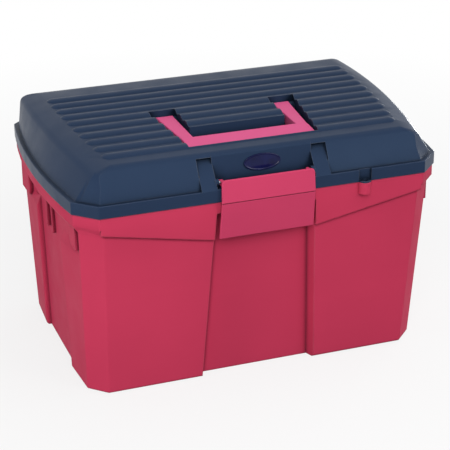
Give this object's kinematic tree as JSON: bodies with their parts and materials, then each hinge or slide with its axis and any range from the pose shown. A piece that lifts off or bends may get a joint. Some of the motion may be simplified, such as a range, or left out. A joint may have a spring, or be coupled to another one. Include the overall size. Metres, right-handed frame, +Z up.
{
  "type": "horse grooming box",
  "caption": "Moulded grooming box: drafted tub, hinged domed lid with ribbed top and sunk bail handle, wide front latch, padlock eye and lift-out tray.",
  "frame": {"origin": "on the floor under the middle of the lid's rim", "axes": "+X along the length to the right, +Y to the rear where the hinges are, +Z up; the latch faces -Y"},
  "size_m": [0.42, 0.3085, 0.2671],
  "materials": {
    "tub_plastic": "satin moulded polypropylene, raspberry pink",
    "lid_plastic": "satin moulded polypropylene, slate navy",
    "handle_plastic": "satin moulded polypropylene, lighter pink",
    "tray_plastic": "satin moulded polypropylene, dark slate",
    "badge_gloss": "glossy dark navy, plain",
    "pin_steel": "drawn steel pin"
  },
  "bodies": {
    "tub": {"tub": "tub_plastic", "padlock_boss": "tub_plastic", "hinge_pin_left": "pin_steel", "hinge_pin_right": "pin_steel"},
    "lid": {"lid": "lid_plastic", "badge": "badge_gloss", "handle_pin_left": "pin_steel", "handle_pin_right": "pin_steel", "latch_pin_left": "pin_steel", "latch_pin_right": "pin_steel"},
    "handle": {"handle": "handle_plastic"},
    "latch": {"latch": "tub_plastic"},
    "tray": {"tray": "tray_plastic"}
  },
  "joints": [
    {"name": "lid_hinge", "type": "hinge", "parent": "tub", "child": "lid", "pos_m": [0, 0.152, 0.212], "axis": [-1, 0, 0], "range_deg": [0, 105]},
    {"name": "handle_pivot", "type": "hinge", "parent": "lid", "child": "handle", "pos_m": [0, -0.0155, 0.2545], "axis": [-1, 0, 0], "range_deg": [0, 90]},
    {"name": "latch_pivot", "type": "hinge", "parent": "lid", "child": "latch", "pos_m": [0, -0.138, 0.228], "axis": [-1, 0, 0], "range_deg": [-3, 90]},
    {"name": "tray_slide", "type": "slide", "parent": "tub", "child": "tray", "axis": [0, 0, 1], "range_m": [0, 0.025]}
  ]
}
